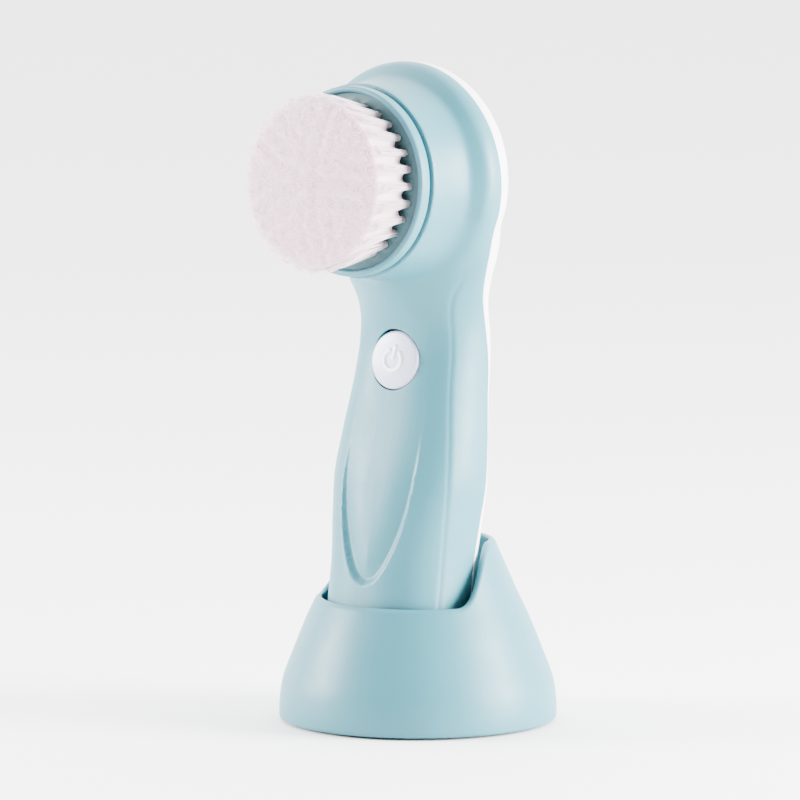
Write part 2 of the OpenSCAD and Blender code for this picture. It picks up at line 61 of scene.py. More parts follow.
# Front face of the handle, distances along the brush axis
FACE_FRONT = 20.6
CUP_BACK, CUP_FRONT = 21.2, 24.6
PLATE_FRONT = 23.4
CUP_R = 24.1
CUP_FLOOR = 1.2
# Hole through the middle of the cup and its plate
HUB_R = 4.0
BRISTLE_R = 23.0
BRISTLE_LEN = 17.6
# The seam's distance behind the handle's axis at the foot, its lean, and where it turns into the head's plane
SEAM_FOOT = 8.2
SEAM_LEAN = math.radians(7.4)
SEAM_BLEND_LOW, SEAM_BLEND_RUN = 88, 42
SEAM_GAP = 0.12
FOOT_LOW = 5.05
LOFT_TOP = 118.0

# Stations along the handle: [position, value]. Depths are in front of the widest line and behind it.
WIDEST_LINE = [[0, 4.6], [60, 4.6], [80, 4.3], [87, 3], [92, 0.6], [98, -3.4], [106, -8.6], [118, -15]]
HALF_W = [[0, 18.7], [20, 18.8], [30, 18.8], [40, 19.7], [50, 20.6], [60, 20.1], [74, 18.6], [86, 18.2],
          [92, 18.6], [97, 19.6], [102, 22], [107, 24.8], [113, 27.2], [118, 28.2]]
FRONT_D = [[0, 18.2], [16, 18.4], [30, 18.6], [46, 18.2], [60, 16.6], [74, 15.6], [84, 15.2], [91, 15.7],
           [98, 17.2], [106, 18.4], [118, 18]]
REAR_D = [[0, 10], [30, 10], [46, 8], [60, 4.8], [74, 4.2], [84, 4.6], [92, 6.8], [98, 9.6],
          [102, 11.4], [106, 13.2], [112, 15.2], [118, 15.9]]
FRONT_SQUARE = [[0, 2.5], [24, 2.6], [38, 2.9], [70, 2.9], [84, 2.6], [95, 1.8], [118, 1.6]]
REAR_SQUARE = 2.4
# Radius of the head by distance along the brush axis
HEAD_SIDE = [[0, HEAD_R], [3, HEAD_R - 0.1], [5, HEAD_R - 0.8], [6.6, HEAD_R - 2.2], [8, HEAD_R - 3.5],
             [10, HEAD_R - 4.2], [14, HEAD_R - 4.8], [FACE_FRONT, CUP_R + 0.6]]


def curve(stations, x):
    """Catmull-Rom curve through [position, value] stations."""
    p = np.asarray(stations, float)
    x = np.asarray(x, float)
    i = np.clip(np.searchsorted(p[:, 0], x, side="right") - 1, 0, len(p) - 2)
    before, after = np.maximum(i - 1, 0), np.minimum(i + 2, len(p) - 1)
    h = p[i + 1, 0] - p[i, 0]
    slope_a = (p[i + 1, 1] - p[before, 1]) / (p[i + 1, 0] - p[before, 0])
    slope_b = (p[after, 1] - p[i, 1]) / (p[after, 0] - p[i, 0])
    t = (x - p[i, 0]) / h
    return ((2 * t**3 - 3 * t**2 + 1) * p[i, 1] + (t**3 - 2 * t**2 + t) * h * slope_a
            + (3 * t**2 - 2 * t**3) * p[i + 1, 1] + (t**3 - t**2) * h * slope_b)


def smooth(t):
    """Ease from 0 to 1 as t goes from 0 to 1."""
    t = np.clip(t, 0, 1)
    return t * t * (3 - 2 * t)


# ---- Frames ----
def from_handle(points):
    """Handle frame (origin at the foot, z along the handle) to the row frame."""
    x, y, z = np.asarray(points, float).T
    c, s = math.cos(LEAN), math.sin(LEAN)
    return np.stack([x, FOOT_Y + y * c + z * s, FOOT_Z - y * s + z * c], axis=-1)


def to_handle(points):
    """Row frame to the handle frame."""
    x, y, z = np.asarray(points, float).T
    c, s = math.cos(LEAN), math.sin(LEAN)
    y, z = y - FOOT_Y, z - FOOT_Z
    return np.stack([x, y * c - z * s, y * s + z * c], axis=-1)


def from_head(points):
    """Head frame (z along the brush axis, y up) to the row frame."""
    x, y, z = np.asarray(points, float).T
    c, s = math.cos(HEAD_TILT), math.sin(HEAD_TILT)
    return np.stack([x, HEAD_Y - z * c + y * s, HEAD_Z + z * s + y * c], axis=-1)


def to_head(points):
    """Row frame to the head frame."""
    x, y, z = np.asarray(points, float).T
    c, s = math.cos(HEAD_TILT), math.sin(HEAD_TILT)
    y, z = y - HEAD_Y, z - HEAD_Z
    return np.stack([x, y * s + z * c, -y * c + z * s], axis=-1)


def seam_y(z):
    """Where the seam between the shells runs: y of the row frame by height."""
    base = FOOT_Y + SEAM_FOOT * math.cos(LEAN)
    base_z = FOOT_Z - SEAM_FOOT * math.sin(LEAN)
    line = base + math.tan(SEAM_LEAN) * (np.asarray(z) - base_z)
    return line + (HEAD_Y - line) * smooth((np.asarray(z) - SEAM_BLEND_LOW) / SEAM_BLEND_RUN)


# ---- Mesh helpers ----
def make_piece(name, points, faces, smooth_shade=True):
    """Object from points in millimetres and faces."""
    mesh = bpy.data.meshes.new(name)
    mesh.from_pydata((np.asarray(points, float) * MM).tolist(), [], [tuple(f) for f in faces])
    mesh.validate()
    mesh.update()
    if smooth_shade:
        mesh.polygons.foreach_set("use_smooth", [True] * len(mesh.polygons))
    piece = bpy.data.objects.new(name, mesh)
    bpy.context.scene.collection.objects.link(piece)
    return piece


def grid_faces(rows, columns):
    """Quads of a grid of points, where each row closes on itself."""
    faces = []
    for r in range(rows - 1):
        for c in range(columns):
            d = (c + 1) % columns
            faces.append((r * columns + c, r * columns + d, (r + 1) * columns + d, (r + 1) * columns + c))
    return faces


def revolve(profile, around):
    """Points and faces of a profile of (radius, height) turned about z. Radius 0 closes it."""
    points, faces = [], []
    rows = []
    for radius, height in profile:
        if radius < 1e-6:
            rows.append([len(points)] * around)
            points.append((0, 0, height))
        else:
            rows.append(list(range(len(points), len(points) + around)))
            turns = [2 * math.pi * k / around for k in range(around)]
            points += [(radius * math.cos(a), radius * math.sin(a), height) for a in turns]
    for low, high in zip(rows, rows[1:]):
        for k in range(around):
            m = (k + 1) % around
            quad = [low[k], low[m], high[m], high[k]]
            face = [v for i, v in enumerate(quad) if v not in quad[:i]]
            if len(face) > 2:
                faces.append(face)
    return np.array(points, float), faces


def round_profile(corners, radius, steps=6):
    """Round the corners of an open profile with arcs of about the given radius."""
    out = [corners[0]]
    for before, here, after in zip(corners, corners[1:], corners[2:]):
        b, h, a = (np.array(p, float) for p in (before, here, after))
        cut_in = min(radius, 0.45 * np.linalg.norm(b - h))
        cut_out = min(radius, 0.45 * np.linalg.norm(a - h))
        start = h + (b - h) / np.linalg.norm(b - h) * cut_in
        end = h + (a - h) / np.linalg.norm(a - h) * cut_out
        for k in range(steps + 1):
            t = k / steps
            out.append(tuple((1 - t) ** 2 * start + 2 * t * (1 - t) * h + t * t * end))
    out.append(corners[-1])
    return out


def coordinates(mesh):
    """Points of a mesh in millimetres."""
    data = np.empty(len(mesh.vertices) * 3)
    mesh.vertices.foreach_get("co", data)
    return data.reshape(-1, 3) / MM


def set_coordinates(mesh, points):
    """Move a mesh's points to places in millimetres."""
    mesh.vertices.foreach_set("co", (np.asarray(points) * MM).ravel())
    mesh.update()


def normals(mesh):
    """Normal at each point of a mesh."""
    data = np.empty(len(mesh.vertices) * 3)
    mesh.vertices.foreach_get("normal", data)
    return data.reshape(-1, 3)


def apply_modifiers(piece):
    """Put a piece's modifiers into its mesh."""
    bpy.context.view_layer.update()
    graph = bpy.context.evaluated_depsgraph_get()
    mesh = bpy.data.meshes.new_from_object(piece.evaluated_get(graph))
    piece.modifiers.clear()
    piece.data = mesh
    return mesh


def join(pieces, name):
    """One piece from several, with their meshes side by side."""
    work = bmesh.new()
    for piece in pieces:
        work.from_mesh(piece.data)
        bpy.data.objects.remove(piece)
    mesh = bpy.data.meshes.new(name)
    work.to_mesh(mesh)
    work.free()
    piece = bpy.data.objects.new(name, mesh)
    bpy.context.scene.collection.objects.link(piece)
    return piece


def neighbours_mean(mesh, values):
    """Average of each vertex's neighbours, for smoothing."""
    edges = np.empty(len(mesh.edges) * 2, int)
    mesh.edges.foreach_get("vertices", edges)
    a, b = edges.reshape(-1, 2).T
    total = np.zeros_like(values)
    count = np.zeros(len(values))
    np.add.at(total, a, values[b])
    np.add.at(total, b, values[a])
    np.add.at(count, a, 1)
    np.add.at(count, b, 1)
    return total / np.maximum(count, 1)[:, None]


def relax(mesh, weight, rounds):
    """Smooth a whole mesh by weight, a step out for each step in, so that it hardly shrinks."""
    points = coordinates(mesh)
    for _ in range(rounds):
        for step in (0.6, -0.62):
            points = points + step * weight * (neighbours_mean(mesh, points) - points)
    set_coordinates(mesh, points)


def cut_away(piece, warp, axis):
    """Cut a piece along the surface where warp(points)[axis] is 0 and drop what lies above it."""
    mesh = piece.data
    points = coordinates(mesh)
    bent = warp(points)
    work = bmesh.new()
    work.from_mesh(mesh)
    layers = [work.verts.layers.float.new("kept_%d" % k) for k in range(3)]
    for vertex, real, moved in zip(work.verts, points, bent):
        for layer, value in zip(layers, real):
            vertex[layer] = value
        vertex.co = moved
    normal = [0.0, 0.0, 0.0]
    normal[axis] = 1.0
    geometry = list(work.verts) + list(work.edges) + list(work.faces)
    bmesh.ops.bisect_plane(work, geom=geometry, dist=1e-5, plane_co=(0, 0, 0), plane_no=normal,
                           clear_outer=True)
    for vertex in work.verts:
        vertex.co = Vector([vertex[layer] * MM for layer in layers])
    for k in range(3):
        work.verts.layers.float.remove(work.verts.layers.float["kept_%d" % k])
    work.to_mesh(mesh)
    work.free()
    mesh.update()


# ---- The handle's outer skin ----
OUTLINE_STEPS = 96
LOFT_RINGS = 90


def outline(z, grow=0.0):
    """Ring of points round the handle at a height, in the handle frame."""
    a = np.linspace(0, 2 * np.pi, OUTLINE_STEPS, endpoint=False)
    rear = np.sin(a) > 0
    depth = np.where(rear, curve(REAR_D, z), curve(FRONT_D, z)) + grow
    power = 2 / np.where(rear, REAR_SQUARE, curve(FRONT_SQUARE, z))
    x = (curve(HALF_W, z) + grow) * np.sign(np.cos(a)) * np.abs(np.cos(a)) ** power
    y = curve(WIDEST_LINE, z) + depth * np.sign(np.sin(a)) * np.abs(np.sin(a)) ** power
    return np.stack([x, y, np.full_like(x, z)], axis=-1)


def loft_piece(low, high, name):
    """Closed loft through the outlines between two heights."""
    rings = [outline(z) for z in np.linspace(low, high, LOFT_RINGS)]
    faces = grid_faces(LOFT_RINGS, OUTLINE_STEPS)
    last = (LOFT_RINGS - 1) * OUTLINE_STEPS
    faces.append(tuple(range(OUTLINE_STEPS - 1, -1, -1)))
    faces.append(tuple(range(last, last + OUTLINE_STEPS)))
    return make_piece(name, from_handle(np.concatenate(rings)), faces)


def head_piece(name):
    """Head with its domed back and flared collar."""
    quarter = np.linspace(-math.pi / 2, 0, 40)
    dome = [(HEAD_R * math.cos(a), DOME_DEPTH * math.sin(a)) for a in quarter[:-1]]
    side = [(float(curve(HEAD_SIDE, s)), s) for s in np.linspace(0, FACE_FRONT, 40)]
    profile = [(0, dome[0][1])] + dome[1:] + side + [(0, FACE_FRONT)]
    points, faces = revolve(profile, 160)
    return make_piece(name, from_head(points), faces)


# Finger recess in the front of the handle: half-width by height along the handle
RECESS_LOW, RECESS_HIGH = 21.2, 70
RECESS = [[RECESS_LOW, 0], [22.4, 2.9], [26.7, 6.1], [34.6, 9.2], [42.5, 10.8], [51, 11.4], [60, 11.3],
          [RECESS_HIGH, 11]]
# The recess is that deep at its edge, is shallower in its middle, and fades out upwards
RECESS_DEPTH = 1.5
RECESS_MIDDLE, RECESS_HOLLOW = 0.3, 4.5
RECESS_FADE_LOW, RECESS_FADE_RUN, RECESS_FADE = 30, 34, 0.97
# Half-width of the slope at its edge, low down and high up
RECESS_EDGE_LOW, RECESS_EDGE_HIGH = 1.4, 0.6
RECESS_EDGE_START, RECESS_EDGE_RUN = 24, 26
# Heights between which the recess is worked out, and the distance given to every other point
RECESS_FROM, RECESS_TO = 17, 74
FAR = 99.0

# Crease down each side of the front panel: angle ahead of the widest line by height, in degrees
CREASE = [[0, 22], [30, 22.5], [42, 26.5], [50, 31], [60, 35], [74, 38], [90, 37], [96, 31],
          [101, 22], [118, 6]]
CREASE_RISE, CREASE_REACH = 0.55, 3.0
GROOVE_DEPTH, GROOVE_REACH, GROOVE_AHEAD = 0.26, 0.8, 0.3
# Radius that turns the angle into a distance over the skin
CREASE_R = 17
CREASE_START, CREASE_START_RUN = 2, 10
CREASE_END, CREASE_END_RUN = 97, 7


def recess_depth(local):
    """How deep the finger recess is at points of the front, in the handle frame."""
    x, z = np.abs(local[:, 0]), local[:, 2]
    line_z = np.concatenate([np.linspace(RECESS_LOW, 24, 40), np.linspace(24, RECESS_HIGH, 80)[1:]])
    line_x = curve(RECESS, line_z)
    in_height = (z > RECESS_FROM) & (z < RECESS_TO)
    near = np.flatnonzero((x < 14) & in_height & (local[:, 1] < 0))
    distance = np.full(len(x), FAR)
    gap = np.hypot(x[near, None] - line_x[None, :], z[near, None] - line_z[None, :]).min(axis=1)
    half_width = curve(RECESS, np.clip(z[near], RECESS_LOW, RECESS_HIGH))
    inside = (z[near] > RECESS_LOW) & (x[near] < half_width)
    distance[near] = np.where(inside, -gap, gap)
    higher = smooth((z - RECESS_EDGE_START) / RECESS_EDGE_RUN)
    edge = RECESS_EDGE_LOW + (RECESS_EDGE_HIGH - RECESS_EDGE_LOW) * higher
    step = 1 - smooth((distance + edge) / (1.5 * edge))
    fade = 1 - RECESS_FADE * smooth((z - RECESS_FADE_LOW) / RECESS_FADE_RUN)
    from_edge = np.maximum(-distance, 0)
    hollow = RECESS_MIDDLE + (1 - RECESS_MIDDLE) * np.exp(-(from_edge / RECESS_HOLLOW) ** 2)
    return RECESS_DEPTH * step * fade * hollow


def crease_depth(local):
    """Soft ridge with a fine groove down each side of the front panel, which sweeps out to the seam."""
    x, y, z = local.T
    along = np.clip(z, 0, LOFT_TOP)
    w, d, middle, square = (curve(line, along) for line in (HALF_W, FRONT_D, WIDEST_LINE, FRONT_SQUARE))
    ahead = np.maximum(middle - y, 0)
    angle = np.degrees(np.arctan2((ahead / d) ** (square / 2), (np.abs(x) / w) ** (square / 2)))
    offset = np.radians(angle - curve(CREASE, along)) * CREASE_R
    fade = smooth((z - CREASE_START) / CREASE_START_RUN) * (1 - smooth((z - CREASE_END) / CREASE_END_RUN))
    ridge = CREASE_RISE * np.exp(-np.abs(offset) / CREASE_REACH)
    groove = GROOVE_DEPTH * np.exp(-((offset - GROOVE_AHEAD) / GROOVE_REACH) ** 2)
    return fade * (groove - ridge) * (y < middle)


# The neck between the handle and the collar of the head is smoothed most
NECK_Z, NECK_REACH = 106, 11
NECK_FACE, NECK_FACE_RUN = 15.5, 2
NECK_CLEAR = 8
NECK_ROUNDS = 110
VOXEL = 0.42
SKIN_RELAX, SKIN_ROUNDS = 0.5, 3
# The loft starts this far below the foot and is cut off there later
LOFT_EXTRA = 3


def handle_skin():
    """One smooth closed skin of handle and head, before it is split along the seam."""
    skin = join([loft_piece(FOOT_LOW - LOFT_EXTRA, LOFT_TOP, "loft"), head_piece("head")], "skin")
    remesh = skin.modifiers.new("remesh", "REMESH")
    remesh.mode = "VOXEL"
    remesh.voxel_size = VOXEL * MM
    mesh = apply_modifiers(skin)
    points = coordinates(mesh)
    neck = np.exp(-((to_handle(points)[:, 2] - NECK_Z) / NECK_REACH) ** 2)
    not_face = 1 - smooth((to_head(points)[:, 2] - NECK_FACE) / NECK_FACE_RUN)
    weight = np.clip(neck * not_face * (points[:, 2] < HEAD_Z - NECK_CLEAR), 0, 1)
    relax(mesh, SKIN_RELAX, SKIN_ROUNDS)
    points = coordinates(mesh)
    for _ in range(NECK_ROUNDS):
        points += 0.5 * weight[:, None] * (neighbours_mean(mesh, points) - points)
    set_coordinates(mesh, points)
    points = coordinates(mesh)
    local = to_handle(points)
    depth = recess_depth(local) + crease_depth(local)
    set_coordinates(mesh, points - depth[:, None] * normals(mesh))
    return skin


# Power button: height on the handle, radius, gap round it and front face
BUTTON_Z = 78.9
BUTTON_R = 7.5
BUTTON_FIT = 0.35
BUTTON_FACE = -11.5
# Hole for the shaft seal in the front face, cut from this distance along the brush axis
SEAL_R = 5.0
SEAL_FROM = 13
SEAL_OUTSIDE = -20
# Thickness of the shells and the small bevel on their edges
SHELL_WALL = 1.7
SHELL_EDGE = 0.18


def split_shells(skin):
    """Front shell and rear cover, each with its own thickness, from the one skin."""
    half = SEAM_GAP / 2

    # Each function bends space so that what is cut away lies above 0 on one axis
    def foot(p):
        return np.stack([p[:, 0], p[:, 1], FOOT_LOW - to_handle(p)[:, 2]], axis=-1)

    def behind_seam(p):
        return np.stack([p[:, 0], p[:, 1] - seam_y(p[:, 2]) + half, p[:, 2]], axis=-1)

    def before_seam(p):
        return np.stack([p[:, 0], seam_y(p[:, 2]) + half - p[:, 1], p[:, 2]], axis=-1)

    def button_hole(p):
        local = to_handle(p)
        out = BUTTON_R + BUTTON_FIT - np.hypot(local[:, 0], local[:, 2] - BUTTON_Z)
        return np.stack([local[:, 0], local[:, 2], out], axis=-1)

    def seal_hole(p):
        local = to_head(p)
        out = np.where(local[:, 2] > SEAL_FROM, SEAL_R - np.hypot(local[:, 0], local[:, 1]), SEAL_OUTSIDE)
        return np.stack([local[:, 0], local[:, 1], out], axis=-1)

    cut_away(skin, foot, 2)
    rear = skin.copy()
    rear.data = skin.data.copy()
    bpy.context.scene.collection.objects.link(rear)
    cut_away(skin, behind_seam, 1)
    cut_away(rear, before_seam, 1)
    cut_away(skin, button_hole, 2)
    cut_away(skin, seal_hole, 2)
    skin.name, rear.name = "front_shell_skin", "rear_cover_skin"
    for piece in (skin, rear):
        wall = piece.modifiers.new("wall", "SOLIDIFY")
        wall.thickness = SHELL_WALL * MM
        wall.offset = -1
        apply_modifiers(piece)
        piece.data.polygons.foreach_set("use_smooth", [True] * len(piece.data.polygons))
        edge = piece.modifiers.new("edge", "BEVEL")
        edge.width = SHELL_EDGE * MM
        edge.segments = 2
        edge.limit_method = "ANGLE"
        edge.angle_limit = math.radians(50)
        apply_modifiers(piece)
        piece.data.set_sharp_from_angle(angle=math.radians(40))
    return skin, rear


# ---- Stand ----
STAND_R = 35.5
STAND_WALL = 1.8
STAND_LOW = 0.6
STAND_FOOT_ROUND = 0.8
RIM_FRONT, RIM_REAR = 32.0, 46.8
RIM_START, RIM_RUN = -12.0, 19.0
RIM_CROWN = 0.9
# Radius of the bell by height
BELL = [[0, STAND_R], [5, STAND_R], [11, STAND_R - 0.9], [18, STAND_R - 3.5], [26, STAND_R - 6.7],
        [34, STAND_R - 10.4], [42, STAND_R - 13.9], [52, STAND_R - 18.1]]
CRADLE_FIT, CRADLE_WALL = 0.45, 2.0
CRADLE_LOW, CRADLE_MOUTH = -13.0, 8.0
CRADLE_ROUND = 0.8
# Top of the stand's base plate, on which the cradle stands
PLATE_TOP = 2.6


def rim_height(angle):
    """Height of the rim line at an angle round the stand, where it meets the bell's outside."""
    z = np.full_like(angle, 40.0)
    for _ in range(60):
        y = curve(BELL, z) * np.sin(angle)
        z = 0.5 * z + 0.5 * (RIM_FRONT + (RIM_REAR - RIM_FRONT) * smooth((y - RIM_START) / RIM_RUN))
    return z


def stand_piece():
    """Bell of the stand with a rounded foot and a rounded rim."""
    around, rows, lip = 288, 70, 12
    angle = np.linspace(0, 2 * np.pi, around, endpoint=False)
    top = rim_height(angle)
    low = STAND_LOW + STAND_FOOT_ROUND
    half = STAND_WALL / 2
    rings = []

    def ring(z, inset):
        """Add a ring at a height, set in from the outside of the bell."""
        radius = curve(BELL, z) - inset
        rings.append(np.stack([radius * np.cos(angle), radius * np.sin(angle), z + 0 * angle], axis=-1))

    for a in np.linspace(-math.pi / 2, 0, 7):
        height = STAND_LOW + STAND_FOOT_ROUND * (1 + math.sin(a)) + 0 * angle
        ring(height, STAND_FOOT_ROUND * (1 - math.cos(a)))
    for t in np.linspace(0, 1, rows)[1:]:
        ring(low + (top - RIM_CROWN - low) * t, 0)
    for a in np.linspace(0, math.pi, lip)[1:-1]:
        ring(top - RIM_CROWN + RIM_CROWN * math.sin(a), half * (1 - math.cos(a)))
    for t in np.linspace(1, 0, rows):
        ring(low + (top - RIM_CROWN - low) * t, STAND_WALL)
    faces = grid_faces(len(rings), around)
    last = (len(rings) - 1) * around
    for k in range(around):
        m = (k + 1) % around
        faces.append((last + k, last + m, m, k))
    return make_piece("stand_bell", np.concatenate(rings), faces)


def cradle_piece():
    """Socket inside the stand with a rounded mouth, cut off level on the base plate."""
    outer = CRADLE_FIT + CRADLE_WALL
    section = [(outer, CRADLE_LOW), (outer, CRADLE_MOUTH),
               (CRADLE_FIT, CRADLE_MOUTH), (CRADLE_FIT, CRADLE_LOW)]
    rings = []
    for grow, z in round_profile(section, CRADLE_ROUND):
        ring = outline(0, grow)
        ring[:, 2] = z
        points = from_handle(ring)
        lift = np.maximum(PLATE_TOP - points[:, 2], 0)
        points[:, 1] += lift * math.tan(LEAN)
        points[:, 2] += lift
        rings.append(points)
    rings.append(rings[0])
    return make_piece("cradle_cup", np.concatenate(rings), grid_faces(len(rings), OUTLINE_STEPS))


# ---- Button ----
def to_button(points):
    """Button frame (z out of the handle's front) to the row frame."""
    x, y, z = np.asarray(points, float).T
    return from_handle(np.stack([x, -z, BUTTON_Z + y], axis=-1))


# Raised lines of the power sign: sides of their section and its height as a share of its width
LINE_SIDES = 16
LINE_FLAT = 0.75


def tube_along(path, radius, name):
    """Raised rounded ridge along a path in the button frame, lower than it is wide."""
    path = np.asarray(path, float)
    forward = np.gradient(path, axis=0)
    forward /= np.linalg.norm(forward, axis=1)[:, None]
    across = np.stack([-forward[:, 1], forward[:, 0], 0 * forward[:, 0]], axis=-1)
    turn = np.linspace(0, 2 * np.pi, LINE_SIDES, endpoint=False)
    caps = 6
    growing = [math.sin(a) for a in np.linspace(0, math.pi / 2, caps)][1:-1]
    final = len(path) - 1
    spots = [(0, grow) for grow in growing]
    spots += [(i, 1) for i in range(len(path))]
    spots += [(final, grow) for grow in growing[::-1]]
    rings = []
    for which, grow in spots:
        end = 0.0
        if grow < 1:
            end = -math.cos(math.asin(grow)) * radius * (1 if which == 0 else -1)
        centre = path[which] + forward[which] * end
        ring = centre + grow * radius * (np.cos(turn)[:, None] * across[which]
                                         + LINE_FLAT * np.sin(turn)[:, None] * np.array([0, 0, 1.0]))
        rings.append(ring)
    faces = grid_faces(len(rings), LINE_SIDES)
    last = (len(rings) - 1) * LINE_SIDES
    faces.append(tuple(range(LINE_SIDES - 1, -1, -1)))
    faces.append(tuple(range(last, last + LINE_SIDES)))
    return make_piece(name, to_button(np.concatenate(rings)), faces)


# Power sign: radius of its ring, width of its lines, its turn and half the opening at its top
ICON_R = 2.7
ICON_WIDTH = 1.15
ICON_TURN = math.radians(-9)
ICON_HALF_GAP = 38
ICON_STEM = [0.5, ICON_R + 0.7]
# Button: rise of its domed face, radius of its edge, flange that keeps it in and the stem behind it
DOME_RISE = 0.4
BUTTON_EDGE = 0.9
FLANGE_R = 8.3
FLANGE_BACK, FLANGE_FRONT = 7.1, 7.9
STEM_R = 1.5
STEM_BACK = 7.05


def button_top(radius):
    """Height of the button's domed face in the button frame."""
    return -BUTTON_FACE + DOME_RISE - DOME_RISE * (radius / BUTTON_R) ** 2


def button_piece():
    """Domed button with its flange and stem."""
    side = [(FLANGE_R, FLANGE_BACK), (FLANGE_R, FLANGE_FRONT), (BUTTON_R, FLANGE_FRONT + 0.05)]
    rim = [(BUTTON_R - BUTTON_EDGE * (1 - math.cos(a)),
            button_top(BUTTON_R) - BUTTON_EDGE * (1 - math.sin(a))) for a in np.linspace(0, math.pi / 2, 12)]
    crown_r = BUTTON_R - BUTTON_EDGE
    drop = button_top(crown_r) - button_top(BUTTON_R)
    crown = [(r, float(button_top(r)) - drop * (r / crown_r) ** 8) for r in np.linspace(crown_r, 0, 24)[1:]]
    stem = [(0, STEM_BACK), (STEM_R, STEM_BACK), (STEM_R, FLANGE_BACK)]
    points, faces = revolve(stem + side + rim + crown, 128)
    return make_piece("disc", to_button(points), faces)


def icon_piece():
    """Raised power sign: an open ring and a short stem."""
    def turned(radius, angle):
        """Point on the button's face, turned by the sign's own angle."""
        angle += ICON_TURN
        return radius * math.cos(angle), radius * math.sin(angle), float(button_top(radius))

    sweep = np.radians(np.linspace(90 + ICON_HALF_GAP, 450 - ICON_HALF_GAP, 64))
    arc = [turned(ICON_R, a) for a in sweep]
    stem = [turned(y, math.pi / 2) for y in np.linspace(*ICON_STEM, 12)]
    ring = tube_along(arc, ICON_WIDTH / 2, "ring")
    line = tube_along(stem, ICON_WIDTH / 2, "line")
    return join([ring, line], "power_icon")


# ---- Brush head ----
CUP_RIM = 1.5
CUP_EDGE = 0.7
PLATE_R = CUP_R - 1.6
# Raised collar round each tuft: its radius, width and height
COLLAR_R, COLLAR_W, COLLAR_RISE = 1.5, 0.35, 0.25
# Rings of tufts: radius of the ring and number of tufts on it
TUFT_RINGS = [(19.2, 28), (15.9, 23), (12.6, 18), (9.3, 13), (6.1, 9), (3.0, 4), (0.0, 1)]
# A tuft's radius at its root and at its tips, where it meets its neighbours
TUFT_ROOT_R, TUFT_TIP_R = 0.8, 2.25
TUFT_TIP_REACH = BRISTLE_R - 1.9
FIBRES = 130
FIBRE_R = 0.085
FIBRE_STEPS = 5
FIBRE_SIDES = 3
FIBRE_TAPER = 0.55
FIBRE_SINK = 0.3
# Uneven tips, uneven lengths and bend of the fibres
TIP_SCATTER, LENGTH_SCATTER, BOW_SCATTER = 0.12, 0.12, 0.18
# Soft edge of the field: where it starts, as a share of its radius, and how much shorter it is there
FIELD_DOME = 0.5
FIELD_EDGE, FIELD_EDGE_DROP = 0.84, 3.2
CORE_ROOT_R = 19.4
CORE_TIP_R = BRISTLE_R - 1.5
CORE_SINK = 0.8
CORE_SCALLOP = 1.5


def cup_piece():
    """Brush cup with a rounded rim."""
    floor = CUP_BACK + CUP_FLOOR
    corners = [(HUB_R, CUP_BACK), (CUP_R, CUP_BACK), (CUP_R, CUP_FRONT), (CUP_R - CUP_RIM, CUP_FRONT),
               (CUP_R - CUP_RIM - 0.3, floor), (HUB_R, floor)]
    profile = round_profile(corners, CUP_EDGE, 7)
    points, faces = revolve(profile + [profile[0]], 192)
    return make_piece("cup_ring", from_head(points), faces)


def field_height(radius):
    """Length of the bristles at a distance from the axis: a gentle dome with a soft edge."""
    r = np.clip(radius / BRISTLE_R, 0, 1)
    edge = np.clip((r - FIELD_EDGE) / (1 - FIELD_EDGE), 0, 1)
    return BRISTLE_LEN - FIELD_DOME * r**2 - FIELD_EDGE_DROP * edge ** 2.2


def plate_piece():
    """Bristle plate with a raised collar round the root of each tuft."""
    floor = CUP_BACK + CUP_FLOOR
    profile = [(HUB_R, floor), (PLATE_R, floor), (PLATE_R, PLATE_FRONT - 0.2), (PLATE_R - 0.2, PLATE_FRONT)]
    profile += [(r, PLATE_FRONT) for r in np.linspace(PLATE_R - 0.3, HUB_R, 60)]
    points, faces = revolve(profile + [profile[0]], 288)
    top = np.abs(points[:, 2] - PLATE_FRONT) < 1e-6
    for ring_r, count in TUFT_RINGS:
        for k in range(count):
            a = 2 * np.pi * k / count
            gap = np.hypot(points[:, 0] - ring_r * np.cos(a), points[:, 1] - ring_r * np.sin(a))
            collar = COLLAR_RISE * np.exp(-((gap - COLLAR_R) / COLLAR_W) ** 2)
            points[:, 2] += np.where(top, collar, 0)
    return make_piece("tuft_plate", from_head(points), faces)


